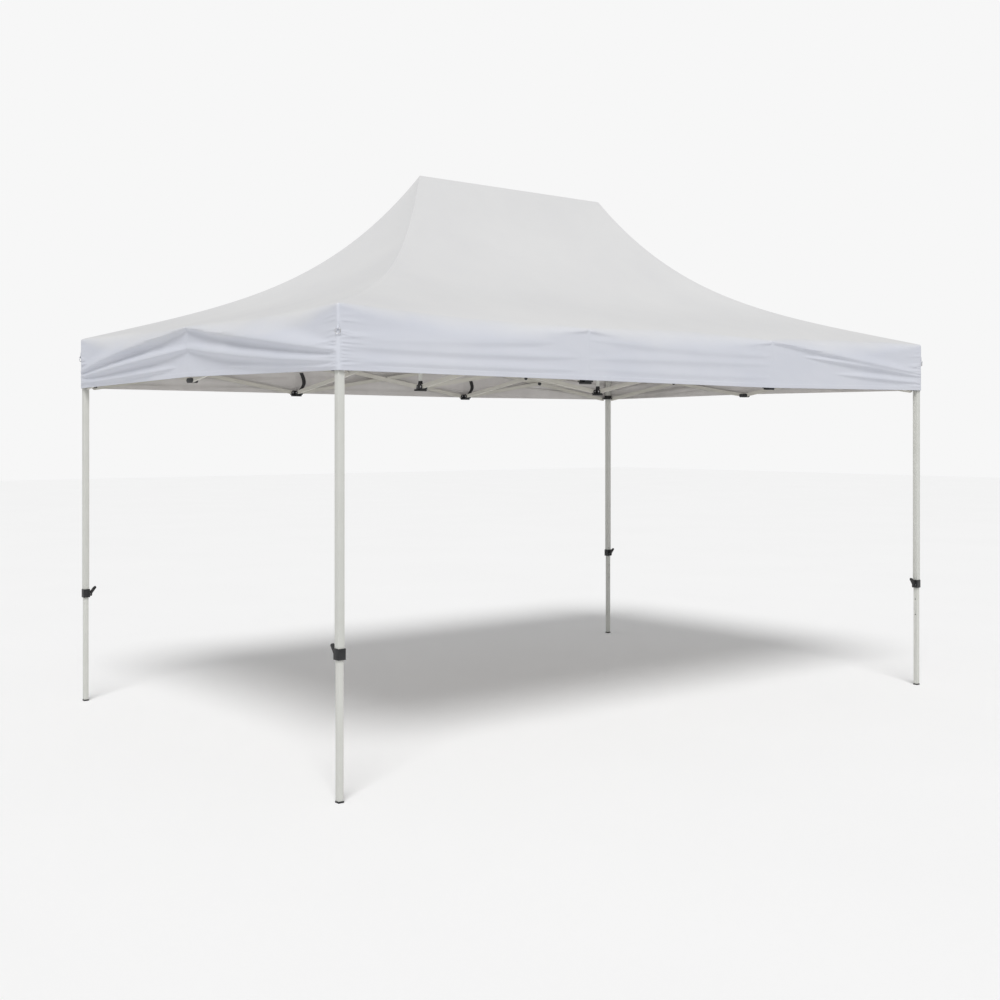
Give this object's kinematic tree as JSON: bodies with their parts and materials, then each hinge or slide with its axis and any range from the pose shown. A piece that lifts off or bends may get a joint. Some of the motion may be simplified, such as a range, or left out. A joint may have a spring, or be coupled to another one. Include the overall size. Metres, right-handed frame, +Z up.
{
  "type": "pop up gazebo",
  "caption": "Rectangular pop up gazebo with a hipped fabric canopy, straight valance, folding scissor frame and four telescopic legs with thumb locks.",
  "frame": {"origin": "on the ground at the middle of the four feet", "axes": "+X along the ridge and the long sides, +Y towards the back, +Z up"},
  "size_m": [4.444, 2.9414, 3.172],
  "materials": {
    "canopy_fabric": "coated polyester weave, matt",
    "bar_steel": "light grey powder coat",
    "leg_steel": "off-white powder coat",
    "hub_and_pole": "black moulded nylon hub, white pole",
    "lock_plastic": "black moulded nylon",
    "connector_plastic": "black moulded nylon"
  },
  "bodies": {
    "left_upper_hub": {"left_upper_hub": "connector_plastic", "canopy": "canopy_fabric"},
    "left_cross_truss_back_falling_bar": {"left_cross_truss_back_falling_bar": "bar_steel"},
    "left_cross_truss_back_rising_bar": {"left_cross_truss_back_rising_bar": "bar_steel"},
    "back_left_lower_connector": {"back_left_lower_connector": "connector_plastic"},
    "back_left_upper_connector": {"back_left_upper_connector": "connector_plastic"},
    "left_lower_hub_and_peak_pole": {"left_lower_hub_and_peak_pole": "hub_and_pole"},
    "left_cross_truss_front_rising_bar": {"left_cross_truss_front_rising_bar": "bar_steel"},
    "left_cross_truss_front_falling_bar": {"left_cross_truss_front_falling_bar": "bar_steel"},
    "front_left_lower_connector": {"front_left_lower_connector": "connector_plastic"},
    "front_left_upper_connector": {"front_left_upper_connector": "connector_plastic"},
    "ridge_truss_falling_bar": {"ridge_truss_falling_bar": "bar_steel"},
    "ridge_truss_rising_bar": {"ridge_truss_rising_bar": "bar_steel"},
    "right_lower_hub_and_peak_pole": {"right_lower_hub_and_peak_pole": "hub_and_pole"},
    "right_upper_hub": {"right_upper_hub": "connector_plastic"},
    "right_cross_truss_back_falling_bar": {"right_cross_truss_back_falling_bar": "bar_steel"},
    "right_cross_truss_back_rising_bar": {"right_cross_truss_back_rising_bar": "bar_steel"},
    "back_right_lower_connector": {"back_right_lower_connector": "connector_plastic"},
    "back_right_upper_connector": {"back_right_upper_connector": "connector_plastic"},
    "right_cross_truss_front_rising_bar": {"right_cross_truss_front_rising_bar": "bar_steel"},
    "right_cross_truss_front_falling_bar": {"right_cross_truss_front_falling_bar": "bar_steel"},
    "front_right_lower_connector": {"front_right_lower_connector": "connector_plastic"},
    "front_right_upper_connector": {"front_right_upper_connector": "connector_plastic"},
    "front_truss_left_rising_bar": {"front_truss_left_rising_bar": "bar_steel"},
    "front_truss_left_falling_bar": {"front_truss_left_falling_bar": "bar_steel"},
    "front_left_slider": {"front_left_slider": "connector_plastic"},
    "front_left_upper_leg": {"front_left_upper_leg": "leg_steel"},
    "back_truss_left_rising_bar": {"back_truss_left_rising_bar": "bar_steel"},
    "back_truss_left_falling_bar": {"back_truss_left_falling_bar": "bar_steel"},
    "back_left_slider": {"back_left_slider": "connector_plastic"},
    "back_left_upper_leg": {"back_left_upper_leg": "leg_steel"},
    "front_truss_right_falling_bar": {"front_truss_right_falling_bar": "bar_steel"},
    "front_truss_right_rising_bar": {"front_truss_right_rising_bar": "bar_steel"},
    "front_right_slider": {"front_right_slider": "connector_plastic"},
    "front_right_upper_leg": {"front_right_upper_leg": "leg_steel"},
    "back_truss_right_falling_bar": {"back_truss_right_falling_bar": "bar_steel"},
    "back_truss_right_rising_bar": {"back_truss_right_rising_bar": "bar_steel"},
    "back_right_slider": {"back_right_slider": "connector_plastic"},
    "back_right_upper_leg": {"back_right_upper_leg": "leg_steel"},
    "front_truss_middle_falling_bar": {"front_truss_middle_falling_bar": "bar_steel"},
    "front_truss_middle_rising_bar": {"front_truss_middle_rising_bar": "bar_steel"},
    "back_truss_middle_falling_bar": {"back_truss_middle_falling_bar": "bar_steel"},
    "back_truss_middle_rising_bar": {"back_truss_middle_rising_bar": "bar_steel"},
    "left_truss_front_falling_bar": {"left_truss_front_falling_bar": "bar_steel"},
    "left_truss_front_rising_bar": {"left_truss_front_rising_bar": "bar_steel"},
    "left_truss_back_rising_bar": {"left_truss_back_rising_bar": "bar_steel"},
    "left_truss_back_falling_bar": {"left_truss_back_falling_bar": "bar_steel"},
    "right_truss_front_falling_bar": {"right_truss_front_falling_bar": "bar_steel"},
    "right_truss_front_rising_bar": {"right_truss_front_rising_bar": "bar_steel"},
    "right_truss_back_rising_bar": {"right_truss_back_rising_bar": "bar_steel"},
    "right_truss_back_falling_bar": {"right_truss_back_falling_bar": "bar_steel"},
    "front_left_lower_leg": {"front_left_lower_leg": "leg_steel"},
    "front_left_lock_lever": {"front_left_lock_lever": "lock_plastic"},
    "front_right_lower_leg": {"front_right_lower_leg": "leg_steel"},
    "front_right_lock_lever": {"front_right_lock_lever": "lock_plastic"},
    "back_right_lower_leg": {"back_right_lower_leg": "leg_steel"},
    "back_right_lock_lever": {"back_right_lock_lever": "lock_plastic"},
    "back_left_lower_leg": {"back_left_lower_leg": "leg_steel"},
    "back_left_lock_lever": {"back_left_lock_lever": "lock_plastic"}
  },
  "joints": [
    {"name": "frame_fold", "type": "hinge", "parent": "left_upper_hub", "child": "left_cross_truss_back_falling_bar", "pos_m": [-0.72433, 0.027, 2.135], "axis": [-1, 0, 0], "range_deg": [0, 75], "deforming": ["canopy"]},
    {"name": "left_cross_truss_back_rising_bar_crossing", "type": "hinge", "parent": "left_cross_truss_back_falling_bar", "child": "left_cross_truss_back_rising_bar", "pos_m": [-0.72433, 0.72433, 2.0235], "axis": [1, 0, 0], "range_deg": [0, 150]},
    {"name": "back_left_lower_connector_pivot", "type": "hinge", "parent": "left_cross_truss_back_falling_bar", "child": "back_left_lower_connector", "pos_m": [-0.72433, 1.42167, 1.912], "axis": [1, 0, 0], "range_deg": [0, 75]},
    {"name": "back_left_upper_connector_pivot", "type": "hinge", "parent": "left_cross_truss_back_rising_bar", "child": "back_left_upper_connector", "pos_m": [-0.72433, 1.42167, 2.135], "axis": [-1, 0, 0], "range_deg": [0, 75]},
    {"name": "left_lower_hub_and_peak_pole_pivot", "type": "hinge", "parent": "left_cross_truss_back_rising_bar", "child": "left_lower_hub_and_peak_pole", "pos_m": [-0.72433, 0.027, 1.912], "axis": [-1, 0, 0], "range_deg": [0, 75]},
    {"name": "left_cross_truss_front_rising_bar_pivot", "type": "hinge", "parent": "left_upper_hub", "child": "left_cross_truss_front_rising_bar", "pos_m": [-0.72433, -0.027, 2.135], "axis": [1, 0, 0], "range_deg": [0, 75]},
    {"name": "left_cross_truss_front_falling_bar_crossing", "type": "hinge", "parent": "left_cross_truss_front_rising_bar", "child": "left_cross_truss_front_falling_bar", "pos_m": [-0.72433, -0.72433, 2.0235], "axis": [-1, 0, 0], "range_deg": [0, 150]},
    {"name": "front_left_lower_connector_pivot", "type": "hinge", "parent": "left_cross_truss_front_rising_bar", "child": "front_left_lower_connector", "pos_m": [-0.72433, -1.42167, 1.912], "axis": [-1, 0, 0], "range_deg": [0, 75]},
    {"name": "front_left_upper_connector_pivot", "type": "hinge", "parent": "left_cross_truss_front_falling_bar", "child": "front_left_upper_connector", "pos_m": [-0.72433, -1.42167, 2.135], "axis": [1, 0, 0], "range_deg": [0, 75]},
    {"name": "ridge_truss_falling_bar_pivot", "type": "hinge", "parent": "left_upper_hub", "child": "ridge_truss_falling_bar", "pos_m": [-0.69733, 0, 2.135], "axis": [0, 1, 0], "range_deg": [0, 75]},
    {"name": "ridge_truss_rising_bar_crossing", "type": "hinge", "parent": "ridge_truss_falling_bar", "child": "ridge_truss_rising_bar", "pos_m": [0, 0, 2.0235], "axis": [0, -1, 0], "range_deg": [0, 150]},
    {"name": "right_lower_hub_and_peak_pole_pivot", "type": "hinge", "parent": "ridge_truss_falling_bar", "child": "right_lower_hub_and_peak_pole", "pos_m": [0.69733, 0, 1.912], "axis": [0, -1, 0], "range_deg": [0, 75]},
    {"name": "right_upper_hub_pivot", "type": "hinge", "parent": "ridge_truss_rising_bar", "child": "right_upper_hub", "pos_m": [0.69733, 0, 2.135], "axis": [0, 1, 0], "range_deg": [0, 75]},
    {"name": "right_cross_truss_back_falling_bar_pivot", "type": "hinge", "parent": "right_upper_hub", "child": "right_cross_truss_back_falling_bar", "pos_m": [0.72433, 0.027, 2.135], "axis": [-1, 0, 0], "range_deg": [0, 75]},
    {"name": "right_cross_truss_back_rising_bar_crossing", "type": "hinge", "parent": "right_cross_truss_back_falling_bar", "child": "right_cross_truss_back_rising_bar", "pos_m": [0.72433, 0.72433, 2.0235], "axis": [1, 0, 0], "range_deg": [0, 150]},
    {"name": "back_right_lower_connector_pivot", "type": "hinge", "parent": "right_cross_truss_back_falling_bar", "child": "back_right_lower_connector", "pos_m": [0.72433, 1.42167, 1.912], "axis": [1, 0, 0], "range_deg": [0, 75]},
    {"name": "back_right_upper_connector_pivot", "type": "hinge", "parent": "right_cross_truss_back_rising_bar", "child": "back_right_upper_connector", "pos_m": [0.72433, 1.42167, 2.135], "axis": [-1, 0, 0], "range_deg": [0, 75]},
    {"name": "right_cross_truss_front_rising_bar_pivot", "type": "hinge", "parent": "right_upper_hub", "child": "right_cross_truss_front_rising_bar", "pos_m": [0.72433, -0.027, 2.135], "axis": [1, 0, 0], "range_deg": [0, 75]},
    {"name": "right_cross_truss_front_falling_bar_crossing", "type": "hinge", "parent": "right_cross_truss_front_rising_bar", "child": "right_cross_truss_front_falling_bar", "pos_m": [0.72433, -0.72433, 2.0235], "axis": [-1, 0, 0], "range_deg": [0, 150]},
    {"name": "front_right_lower_connector_pivot", "type": "hinge", "parent": "right_cross_truss_front_rising_bar", "child": "front_right_lower_connector", "pos_m": [0.72433, -1.42167, 1.912], "axis": [-1, 0, 0], "range_deg": [0, 75]},
    {"name": "front_right_upper_connector_pivot", "type": "hinge", "parent": "right_cross_truss_front_falling_bar", "child": "front_right_upper_connector", "pos_m": [0.72433, -1.42167, 2.135], "axis": [1, 0, 0], "range_deg": [0, 75]},
    {"name": "front_truss_left_rising_bar_pivot", "type": "hinge", "parent": "front_left_upper_connector", "child": "front_truss_left_rising_bar", "pos_m": [-0.75133, -1.44867, 2.135], "axis": [0, -1, 0], "range_deg": [0, 75]},
    {"name": "front_truss_left_falling_bar_crossing", "type": "hinge", "parent": "front_truss_left_rising_bar", "child": "front_truss_left_falling_bar", "pos_m": [-1.44867, -1.44867, 2.0235], "axis": [0, 1, 0], "range_deg": [0, 150]},
    {"name": "front_left_slider_pivot", "type": "hinge", "parent": "front_truss_left_rising_bar", "child": "front_left_slider", "pos_m": [-2.146, -1.44867, 1.912], "axis": [0, 1, 0], "range_deg": [0, 75]},
    {"name": "front_left_upper_leg_pivot", "type": "hinge", "parent": "front_truss_left_falling_bar", "child": "front_left_upper_leg", "pos_m": [-2.146, -1.44867, 2.135], "axis": [0, -1, 0], "range_deg": [0, 75]},
    {"name": "back_truss_left_rising_bar_pivot", "type": "hinge", "parent": "back_left_upper_connector", "child": "back_truss_left_rising_bar", "pos_m": [-0.75133, 1.44867, 2.135], "axis": [0, -1, 0], "range_deg": [0, 75]},
    {"name": "back_truss_left_falling_bar_crossing", "type": "hinge", "parent": "back_truss_left_rising_bar", "child": "back_truss_left_falling_bar", "pos_m": [-1.44867, 1.44867, 2.0235], "axis": [0, 1, 0], "range_deg": [0, 150]},
    {"name": "back_left_slider_pivot", "type": "hinge", "parent": "back_truss_left_rising_bar", "child": "back_left_slider", "pos_m": [-2.146, 1.44867, 1.912], "axis": [0, 1, 0], "range_deg": [0, 75]},
    {"name": "back_left_upper_leg_pivot", "type": "hinge", "parent": "back_truss_left_falling_bar", "child": "back_left_upper_leg", "pos_m": [-2.146, 1.44867, 2.135], "axis": [0, -1, 0], "range_deg": [0, 75]},
    {"name": "front_truss_right_falling_bar_pivot", "type": "hinge", "parent": "front_right_upper_connector", "child": "front_truss_right_falling_bar", "pos_m": [0.75133, -1.44867, 2.135], "axis": [0, 1, 0], "range_deg": [0, 75]},
    {"name": "front_truss_right_rising_bar_crossing", "type": "hinge", "parent": "front_truss_right_falling_bar", "child": "front_truss_right_rising_bar", "pos_m": [1.44867, -1.44867, 2.0235], "axis": [0, -1, 0], "range_deg": [0, 150]},
    {"name": "front_right_slider_pivot", "type": "hinge", "parent": "front_truss_right_falling_bar", "child": "front_right_slider", "pos_m": [2.146, -1.44867, 1.912], "axis": [0, -1, 0], "range_deg": [0, 75]},
    {"name": "front_right_upper_leg_pivot", "type": "hinge", "parent": "front_truss_right_rising_bar", "child": "front_right_upper_leg", "pos_m": [2.146, -1.44867, 2.135], "axis": [0, 1, 0], "range_deg": [0, 75]},
    {"name": "back_truss_right_falling_bar_pivot", "type": "hinge", "parent": "back_right_upper_connector", "child": "back_truss_right_falling_bar", "pos_m": [0.75133, 1.44867, 2.135], "axis": [0, 1, 0], "range_deg": [0, 75]},
    {"name": "back_truss_right_rising_bar_crossing", "type": "hinge", "parent": "back_truss_right_falling_bar", "child": "back_truss_right_rising_bar", "pos_m": [1.44867, 1.44867, 2.0235], "axis": [0, -1, 0], "range_deg": [0, 150]},
    {"name": "back_right_slider_pivot", "type": "hinge", "parent": "back_truss_right_falling_bar", "child": "back_right_slider", "pos_m": [2.146, 1.44867, 1.912], "axis": [0, -1, 0], "range_deg": [0, 75]},
    {"name": "back_right_upper_leg_pivot", "type": "hinge", "parent": "back_truss_right_rising_bar", "child": "back_right_upper_leg", "pos_m": [2.146, 1.44867, 2.135], "axis": [0, 1, 0], "range_deg": [0, 75]},
    {"name": "front_truss_middle_falling_bar_pivot", "type": "hinge", "parent": "front_left_upper_connector", "child": "front_truss_middle_falling_bar", "pos_m": [-0.69733, -1.44867, 2.135], "axis": [0, 1, 0], "range_deg": [0, 75]},
    {"name": "front_truss_middle_rising_bar_crossing", "type": "hinge", "parent": "front_truss_middle_falling_bar", "child": "front_truss_middle_rising_bar", "pos_m": [0, -1.44867, 2.0235], "axis": [0, -1, 0], "range_deg": [0, 150]},
    {"name": "back_truss_middle_falling_bar_pivot", "type": "hinge", "parent": "back_left_upper_connector", "child": "back_truss_middle_falling_bar", "pos_m": [-0.69733, 1.44867, 2.135], "axis": [0, 1, 0], "range_deg": [0, 75]},
    {"name": "back_truss_middle_rising_bar_crossing", "type": "hinge", "parent": "back_truss_middle_falling_bar", "child": "back_truss_middle_rising_bar", "pos_m": [0, 1.44867, 2.0235], "axis": [0, -1, 0], "range_deg": [0, 150]},
    {"name": "left_truss_front_falling_bar_pivot", "type": "hinge", "parent": "front_left_upper_leg", "child": "left_truss_front_falling_bar", "pos_m": [-2.2, -1.39467, 2.135], "axis": [-1, 0, 0], "range_deg": [0, 75]},
    {"name": "left_truss_front_rising_bar_crossing", "type": "hinge", "parent": "left_truss_front_falling_bar", "child": "left_truss_front_rising_bar", "pos_m": [-2.2, -0.69733, 2.0235], "axis": [1, 0, 0], "range_deg": [0, 150]},
    {"name": "left_truss_back_rising_bar_pivot", "type": "hinge", "parent": "back_left_upper_leg", "child": "left_truss_back_rising_bar", "pos_m": [-2.2, 1.39467, 2.135], "axis": [1, 0, 0], "range_deg": [0, 75]},
    {"name": "left_truss_back_falling_bar_crossing", "type": "hinge", "parent": "left_truss_back_rising_bar", "child": "left_truss_back_falling_bar", "pos_m": [-2.2, 0.69733, 2.0235], "axis": [-1, 0, 0], "range_deg": [0, 150]},
    {"name": "right_truss_front_falling_bar_pivot", "type": "hinge", "parent": "front_right_upper_leg", "child": "right_truss_front_falling_bar", "pos_m": [2.2, -1.39467, 2.135], "axis": [-1, 0, 0], "range_deg": [0, 75]},
    {"name": "right_truss_front_rising_bar_crossing", "type": "hinge", "parent": "right_truss_front_falling_bar", "child": "right_truss_front_rising_bar", "pos_m": [2.2, -0.69733, 2.0235], "axis": [1, 0, 0], "range_deg": [0, 150]},
    {"name": "right_truss_back_rising_bar_pivot", "type": "hinge", "parent": "back_right_upper_leg", "child": "right_truss_back_rising_bar", "pos_m": [2.2, 1.39467, 2.135], "axis": [1, 0, 0], "range_deg": [0, 75]},
    {"name": "right_truss_back_falling_bar_crossing", "type": "hinge", "parent": "right_truss_back_rising_bar", "child": "right_truss_back_falling_bar", "pos_m": [2.2, 0.69733, 2.0235], "axis": [-1, 0, 0], "range_deg": [0, 150]},
    {"name": "front_left_leg_slide", "type": "slide", "parent": "front_left_upper_leg", "child": "front_left_lower_leg", "axis": [0, 0, 1], "range_m": [0, 0.55]},
    {"name": "front_left_lever_pivot", "type": "hinge", "parent": "front_left_upper_leg", "child": "front_left_lock_lever", "pos_m": [-2.2, -1.42267, 0.651], "axis": [-1, 0, 0], "range_deg": [0, 20], "stiffness_Nm_per_rad": 2, "springref_deg": -5.73},
    {"name": "front_right_leg_slide", "type": "slide", "parent": "front_right_upper_leg", "child": "front_right_lower_leg", "axis": [0, 0, 1], "range_m": [0, 0.55]},
    {"name": "front_right_lever_pivot", "type": "hinge", "parent": "front_right_upper_leg", "child": "front_right_lock_lever", "pos_m": [2.174, -1.44867, 0.651], "axis": [0, -1, 0], "range_deg": [0, 20], "stiffness_Nm_per_rad": 2, "springref_deg": -5.73},
    {"name": "back_right_leg_slide", "type": "slide", "parent": "back_right_upper_leg", "child": "back_right_lower_leg", "axis": [0, 0, 1], "range_m": [0, 0.55]},
    {"name": "back_right_lever_pivot", "type": "hinge", "parent": "back_right_upper_leg", "child": "back_right_lock_lever", "pos_m": [2.2, 1.42267, 0.651], "axis": [1, 0, 0], "range_deg": [0, 20], "stiffness_Nm_per_rad": 2, "springref_deg": -5.73},
    {"name": "back_left_leg_slide", "type": "slide", "parent": "back_left_upper_leg", "child": "back_left_lower_leg", "axis": [0, 0, 1], "range_m": [0, 0.55]},
    {"name": "back_left_lever_pivot", "type": "hinge", "parent": "back_left_upper_leg", "child": "back_left_lock_lever", "pos_m": [-2.174, 1.44867, 0.651], "axis": [0, 1, 0], "range_deg": [0, 20], "stiffness_Nm_per_rad": 2, "springref_deg": -5.73}
  ],
  "couplings": [
    {"joint": "left_cross_truss_back_rising_bar_crossing", "follows": "frame_fold", "ratio": 2},
    {"joint": "back_left_lower_connector_pivot", "follows": "frame_fold", "ratio": 1},
    {"joint": "back_left_upper_connector_pivot", "follows": "frame_fold", "ratio": 1},
    {"joint": "left_lower_hub_and_peak_pole_pivot", "follows": "frame_fold", "ratio": 1},
    {"joint": "left_cross_truss_front_rising_bar_pivot", "follows": "frame_fold", "ratio": 1},
    {"joint": "left_cross_truss_front_falling_bar_crossing", "follows": "frame_fold", "ratio": 2},
    {"joint": "front_left_lower_connector_pivot", "follows": "frame_fold", "ratio": 1},
    {"joint": "front_left_upper_connector_pivot", "follows": "frame_fold", "ratio": 1},
    {"joint": "ridge_truss_falling_bar_pivot", "follows": "frame_fold", "ratio": 1},
    {"joint": "ridge_truss_rising_bar_crossing", "follows": "frame_fold", "ratio": 2},
    {"joint": "right_lower_hub_and_peak_pole_pivot", "follows": "frame_fold", "ratio": 1},
    {"joint": "right_upper_hub_pivot", "follows": "frame_fold", "ratio": 1},
    {"joint": "right_cross_truss_back_falling_bar_pivot", "follows": "frame_fold", "ratio": 1},
    {"joint": "right_cross_truss_back_rising_bar_crossing", "follows": "frame_fold", "ratio": 2},
    {"joint": "back_right_lower_connector_pivot", "follows": "frame_fold", "ratio": 1},
    {"joint": "back_right_upper_connector_pivot", "follows": "frame_fold", "ratio": 1},
    {"joint": "right_cross_truss_front_rising_bar_pivot", "follows": "frame_fold", "ratio": 1},
    {"joint": "right_cross_truss_front_falling_bar_crossing", "follows": "frame_fold", "ratio": 2},
    {"joint": "front_right_lower_connector_pivot", "follows": "frame_fold", "ratio": 1},
    {"joint": "front_right_upper_connector_pivot", "follows": "frame_fold", "ratio": 1},
    {"joint": "front_truss_left_rising_bar_pivot", "follows": "frame_fold", "ratio": 1},
    {"joint": "front_truss_left_falling_bar_crossing", "follows": "frame_fold", "ratio": 2},
    {"joint": "front_left_slider_pivot", "follows": "frame_fold", "ratio": 1},
    {"joint": "front_left_upper_leg_pivot", "follows": "frame_fold", "ratio": 1},
    {"joint": "back_truss_left_rising_bar_pivot", "follows": "frame_fold", "ratio": 1},
    {"joint": "back_truss_left_falling_bar_crossing", "follows": "frame_fold", "ratio": 2},
    {"joint": "back_left_slider_pivot", "follows": "frame_fold", "ratio": 1},
    {"joint": "back_left_upper_leg_pivot", "follows": "frame_fold", "ratio": 1},
    {"joint": "front_truss_right_falling_bar_pivot", "follows": "frame_fold", "ratio": 1},
    {"joint": "front_truss_right_rising_bar_crossing", "follows": "frame_fold", "ratio": 2},
    {"joint": "front_right_slider_pivot", "follows": "frame_fold", "ratio": 1},
    {"joint": "front_right_upper_leg_pivot", "follows": "frame_fold", "ratio": 1},
    {"joint": "back_truss_right_falling_bar_pivot", "follows": "frame_fold", "ratio": 1},
    {"joint": "back_truss_right_rising_bar_crossing", "follows": "frame_fold", "ratio": 2},
    {"joint": "back_right_slider_pivot", "follows": "frame_fold", "ratio": 1},
    {"joint": "back_right_upper_leg_pivot", "follows": "frame_fold", "ratio": 1},
    {"joint": "front_truss_middle_falling_bar_pivot", "follows": "frame_fold", "ratio": 1},
    {"joint": "front_truss_middle_rising_bar_crossing", "follows": "frame_fold", "ratio": 2},
    {"joint": "back_truss_middle_falling_bar_pivot", "follows": "frame_fold", "ratio": 1},
    {"joint": "back_truss_middle_rising_bar_crossing", "follows": "frame_fold", "ratio": 2},
    {"joint": "left_truss_front_falling_bar_pivot", "follows": "frame_fold", "ratio": 1},
    {"joint": "left_truss_front_rising_bar_crossing", "follows": "frame_fold", "ratio": 2},
    {"joint": "left_truss_back_rising_bar_pivot", "follows": "frame_fold", "ratio": 1},
    {"joint": "left_truss_back_falling_bar_crossing", "follows": "frame_fold", "ratio": 2},
    {"joint": "right_truss_front_falling_bar_pivot", "follows": "frame_fold", "ratio": 1},
    {"joint": "right_truss_front_rising_bar_crossing", "follows": "frame_fold", "ratio": 2},
    {"joint": "right_truss_back_rising_bar_pivot", "follows": "frame_fold", "ratio": 1},
    {"joint": "right_truss_back_falling_bar_crossing", "follows": "frame_fold", "ratio": 2}
  ]
}
